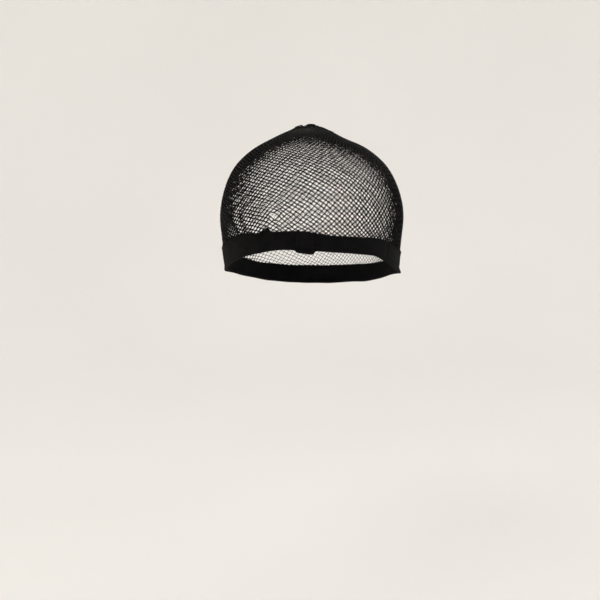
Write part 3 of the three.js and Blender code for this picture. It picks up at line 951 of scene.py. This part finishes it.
def joinSurface(across, up, out):
    # across runs from -1 to 1 and up from 0 to 1; out is 1 on its face and 0 on its back
    corner = np.abs(across) ** 8
    around = joinForm["middle"] + joinHalfAngle * across * (1 + 0.03 * np.cos(5 * up))
    hang = joinForm["hang"] * (1 + 0.2 * across - 0.5 * corner + 0.06 * np.sin(4 * across))
    foot = bandFoot(around) - hang
    top = bandTop(around) - 0.4 * corner + 0.1 * np.sin(3 * across + 1)
    level = foot + (top - foot) * up
    lip = 0.3 * np.exp(-((up - 0.06) / 0.06) ** 2)
    folds = 0.14 * np.cos(7 * across + 1.5 * up) + 0.1 * np.sin(11 * up + 2 * across)
    sewn = 0.22 * np.exp(-((np.abs(across) - joinForm["seam"]) / 0.07) ** 2)
    fromEdge = np.minimum(1 - np.abs(across), 1.2 * np.minimum(up, 1 - up))
    edge = smoothStep(0, 0.12, fromEdge)
    thick = joinForm["wall"] * (0.45 + 0.55 * edge) + lip + (folds - sewn) * edge
    proud = joinForm["seat"] + np.where(out > 0.5, thick, 0.0)
    return standProud(around, turnAtLevel(level), proud)


def buildJoin():
    m, n = joinForm["stepsAcross"] + 1, joinForm["stepsUp"] + 1
    across, up = np.meshgrid(np.linspace(-1, 1, m), np.linspace(0, 1, n), indexing="ij")
    outer = joinSurface(across, up, np.ones_like(up)).reshape(-1, 3)
    inner = joinSurface(across, up, np.zeros_like(up)).reshape(-1, 3)
    index = np.arange(m * n).reshape(m, n)
    front = np.stack([index[:-1, :-1], index[1:, :-1], index[1:, 1:], index[:-1, 1:]], -1).reshape(-1, 4)
    back = front[:, ::-1] + m * n
    rim = np.concatenate([index[:, 0], index[-1, 1:], index[-2::-1, -1], index[0, -2:0:-1]])
    ahead = np.roll(rim, -1)
    walls = np.stack([ahead, rim, rim + m * n, ahead + m * n], -1)
    uv = np.stack([across * joinForm["width"] / 2, up * 15], -1).reshape(-1, 2)
    points = np.concatenate([outer, inner])
    faces = [np.concatenate([front, back, walls])]
    piece = makePiece("bandJoin", points, faces, welt, np.concatenate([uv, uv]))
    settle(piece, "band", "band_join")
    print("band join made")


# Two rows of zigzag stitches through it: how many, where they start, how far each runs up and aside
joinStitch = {"count": 13, "start": 0.1, "step": 0.065, "zig": 0.07, "proud": 0.3, "radius": 0.22}


def buildJoinStitches():
    lines = []
    middle = (bandFoot(joinForm["middle"]) + bandTop(joinForm["middle"])) / 2
    normal = surfaceNormal(joinForm["middle"], turnAtLevel(middle))
    lift = np.array([0.0, joinStitch["proud"], 0.0])[:, None]
    for side in (-1, 1):
        place = side * joinForm["seam"]
        for k in range(joinStitch["count"]):
            low = joinStitch["start"] + joinStitch["step"] * k
            zig = joinStitch["zig"] * (1 if k % 2 else -1)
            spots = joinSurface(
                np.array([place - zig, place, place + zig]),
                np.array([low, low + 0.03, low + joinStitch["step"]]),
                np.ones(3),
            )
            points = curveThrough(spots + normal * lift, 6)
            normals = np.repeat(normal[None], len(points), axis=0)
            lines.append((points, normals, joinStitch["radius"]))
    points, faces, uv = tubeArrays(lines, 6)
    settle(makePiece("joinStitches", points, faces, thread, uv), "thread")
    print("join stitches", len(lines))


buildJoin()
buildJoinStitches()

# Under the bunched net lies the solid wad of the gather
def buildGather():
    stations, rings = gatherForm["stations"], gatherForm["rings"]
    around = np.arange(stations) * 360 / stations
    shares = np.linspace(0.04, 1, rings)
    turns = np.stack([turnAtReach(around, gatherForm["radius"] * s) for s in shares], 1)
    spread = np.broadcast_to(around[:, None], turns.shape)
    height = gatherHeight(spread, shares[None, :]) - gatherForm["coreSunk"]
    top = standProud(spread, turns, np.maximum(height, gatherForm["seat"] - gatherForm["coreSunk"]))
    base = standProud(spread, turns, np.full_like(turns, -gatherForm["baseSunk"]))
    middles = [top[:, 0].mean(0)[None], base[:, 0].mean(0)[None]]
    points = np.concatenate([top.reshape(-1, 3), base.reshape(-1, 3)] + middles)
    i = np.arange(stations)[:, None]
    j = np.arange(rings - 1)[None]
    n = (i + 1) % stations
    quads = np.stack([i * rings + j, i * rings + j + 1, n * rings + j + 1, n * rings + j], -1).reshape(-1, 4)
    below = stations * rings  # from a point of the top to the same one of the base
    under = quads[:, ::-1] + below
    i, n = i[:, 0], n[:, 0]
    last = rings - 1
    rim = np.stack([
        i * rings + last,
        i * rings + last + below,
        n * rings + last + below,
        n * rings + last,
    ], -1)
    topMiddle = np.full(stations, 2 * below)
    caps = np.concatenate([
        np.stack([topMiddle, i * rings, n * rings], -1),
        np.stack([topMiddle + 1, n * rings + below, i * rings + below], -1),
    ])
    reachMm = shares * gatherForm["radius"]
    uv = np.stack(np.broadcast_arrays(reachMm[None], (np.radians(around) * 10)[:, None]), -1).reshape(-1, 2)
    uv = np.concatenate([uv, uv, np.zeros((2, 2))])
    piece = makePiece("crownGather", points, [np.concatenate([quads, under, rim]), caps], yarn, uv)
    settle(piece, "net", "crown_gather")
    print("gather core made")


def buildGatherStrands():
    lines = []
    for i in range(gatherForm["strands"]):
        around = (i + rng.uniform(-0.4, 0.4)) * 360 / gatherForm["strands"]
        drift = rng.uniform(-7, 7)
        shares = np.array([0.2, 0.34, 0.5, 0.66, 0.8, 0.94, 1.06 + rng.uniform(0, 0.2)])
        places = around + drift * (shares - 0.2)
        turns = np.array([turnAtReach(a, gatherForm["radius"] * s)[0] for a, s in zip(places, shares)])
        lift = gatherHeight(places, shares) - 0.35 + rng.uniform(0, 0.4, len(shares))
        spots = standProud(places, turns, lift)
        points = curveThrough(spots, 16)
        lines.append((points, upNormals(points), gatherForm["strandRadius"] * rng.uniform(0.85, 1.15)))
    points, faces, uv = tubeArrays(lines, 6)
    settle(makePiece("gatherStrands", points, faces, yarn, uv), "net")
    print("gather strands", len(lines))


def loopLine(steps):
    # steps: places round the gather, shares of its radius, and heights above the bunched net
    spots = []
    for around, share, height in steps:
        turn = turnAtReach(around, gatherForm["radius"] * share)[0]
        spots.append(standProud(around, turn, gatherHeight(around, share) + height))
    points = curveThrough(spots, 13)
    return points, upNormals(points), gatherForm["strandRadius"]


def buildGatherLoops():
    # low random loops, more of them towards the wearer's right, and then the standing ones
    lines = []
    for i in range(gatherForm["loops"]):
        around = rng.normal(-80, 55)
        span = rng.uniform(12, 26)
        share = rng.uniform(0.42, 0.86)
        height = rng.uniform(0.25, 0.7)
        shift = rng.uniform(-0.14, 0.14)
        steps = [(around + span * part, share + shift * part, height * lift) for part, lift in lowArch]
        lines.append(loopLine(steps))
    for around, first, last, height in standingLoops:
        width = last - first
        steps = [(around + 5 * part, first + width * part, height * lift) for part, lift in standingArch]
        lines.append(loopLine(steps))
    points, faces, uv = tubeArrays(lines, 6)
    settle(makePiece("gatherLoops", points, faces, yarn, uv), "net")
    print("gather loops", len(lines))


buildGather()
buildGatherStrands()
buildGatherLoops()

# The knot that ties the gather: thread wound over and through itself, with two cut ends
knotForm = {
    "width": 8.0, "height": 2.3, "middleProud": 1.6, "aside": 1.2,
    "threadRadius": 0.45, "turnsRound": 5, "turnsThrough": 11, "steps": 420, "endThickness": 0.7,
    "stretch": (1.12, 0.85),  # wider from side to side than from front to back
}
# Its two cut ends: x, y and height above the knot's foot
knotEnds = [
    [(2.5, -1.0, 0.7), (4.4, -2.8, 0.3), (5.6, -4.2, -0.1), (6.6, -5.6, -0.25)],
    [(0.5, 0.6, 0.8), (-1.6, 2.0, 0.6), (-3.4, 3.8, 0.1), (-4.2, 5.6, -0.15)],
]


def buildKnot():
    foot = capForm["crownTop"] + knotForm["middleProud"]
    s = np.linspace(0, 2 * np.pi, knotForm["steps"], endpoint=False)
    tube = knotForm["height"] / 2 - 0.25
    ring = knotForm["width"] / 2 - tube - knotForm["threadRadius"] * 0.5
    wander = 1 + 0.1 * np.sin(3 * s + 1) + 0.07 * np.sin(2 * s)
    reach = ring * 0.55 * wander + (tube * 1.5) * np.cos(knotForm["turnsThrough"] * s)
    angle = knotForm["turnsRound"] * s
    x = reach * np.cos(angle) * knotForm["stretch"][0]
    y = reach * np.sin(angle) * knotForm["stretch"][1]
    z = foot + tube * np.sin(knotForm["turnsThrough"] * s) * (1 - 0.25 * np.sin(angle))
    line = np.stack([x + knotForm["aside"], y, z], -1)
    closed = np.vstack([line, line[:1]])
    normals = unit(np.stack([np.cos(angle), np.sin(angle), np.full_like(angle, 0.8)], -1))
    lines = [(closed, np.vstack([normals, normals[:1]]), knotForm["threadRadius"])]
    endRadius = knotForm["threadRadius"] * knotForm["endThickness"]
    for path in knotEnds:
        points = curveThrough(path, 12) + np.array([0.0, 0.0, foot])
        lines.append((points, upNormals(points), endRadius))
    points, faces, uv = tubeArrays(lines, 8)
    settle(makePiece("gatherKnot", points, faces, thread, uv), "thread", "gather_knot")
    print("knot made")


buildKnot()

# The studio: a round pale floor that sweeps up into a wall on every side, and soft lights
studioForm = {"floor": -400.0, "flat": 900.0, "sweep": 750.0, "wall": 1500.0, "segments": 96}


def buildStudio():
    floor = capForm["crownTop"] + studioForm["floor"]
    bend = np.radians(np.linspace(0, 90, 19))
    flat, sweep = studioForm["flat"], studioForm["sweep"]
    profile = [(flat / 2, floor)]  # reach and height of each ring
    profile += [(flat + sweep * math.sin(a), floor + sweep * (1 - math.cos(a))) for a in bend]
    profile.append((flat + sweep, floor + sweep + studioForm["wall"]))
    segments = studioForm["segments"]
    angle = 2 * np.pi * np.arange(segments) / segments
    rings = [
        np.stack([reach * np.cos(angle), reach * np.sin(angle), np.full(segments, height)], -1)
        for reach, height in profile
    ]
    points = np.concatenate(rings + [np.array([[0.0, 0.0, floor]])])
    size = len(profile)
    ring = np.arange(size - 1)[:, None] * segments
    a = np.arange(segments)[None]
    b = (a + 1) % segments
    quads = np.stack([ring + a, ring + segments + a, ring + segments + b, ring + b], -1).reshape(-1, 4)
    middle = np.stack([np.full(segments, size * segments), a[0], b[0]], -1)
    bowl = makePiece("studioFloor", points, [quads, middle], mattPaper())


# Lights: where they stand in metres from the cap, their size in metres and their power in watts
lightRows = [
    ("keyLight", (-0.7, -0.9, 1.25), 0.9, 6.0, "#fff6ea"),
    ("fillLight", (1.0, -0.7, 0.9), 1.0, 3.0, "#f4f7ff"),
    ("rimLight", (0.2, 1.0, 1.2), 0.9, 3.0, "#ffffff"),
]
# The air gives an even light from all round
studioAir = {"colour": "#fbfbfa", "strength": 0.88}


def buildLights():
    target = Vector((0.003, -0.018, -0.06))  # the middle of the cap
    for name, place, size, power, colour in lightRows:
        lamp = bpy.data.lights.new(name, "AREA")
        lamp.shape = "DISK"
        lamp.size = size
        lamp.energy = power
        lamp.color = hexToLinear(colour)[:3]
        light = bpy.data.objects.new(name, lamp)
        light.location = place
        light.rotation_euler = (Vector(place) - target).to_track_quat("Z", "Y").to_euler()
        bpy.context.scene.collection.objects.link(light)
    world = bpy.data.worlds.new("studioAir")
    world.use_nodes = True
    background = world.node_tree.nodes["Background"]
    background.inputs["Color"].default_value = hexToLinear(studioAir["colour"])
    background.inputs["Strength"].default_value = studioAir["strength"]
    bpy.context.scene.world = world


buildStudio()
buildLights()
bpy.context.scene.view_settings.view_transform = "Standard"
print("studio built")
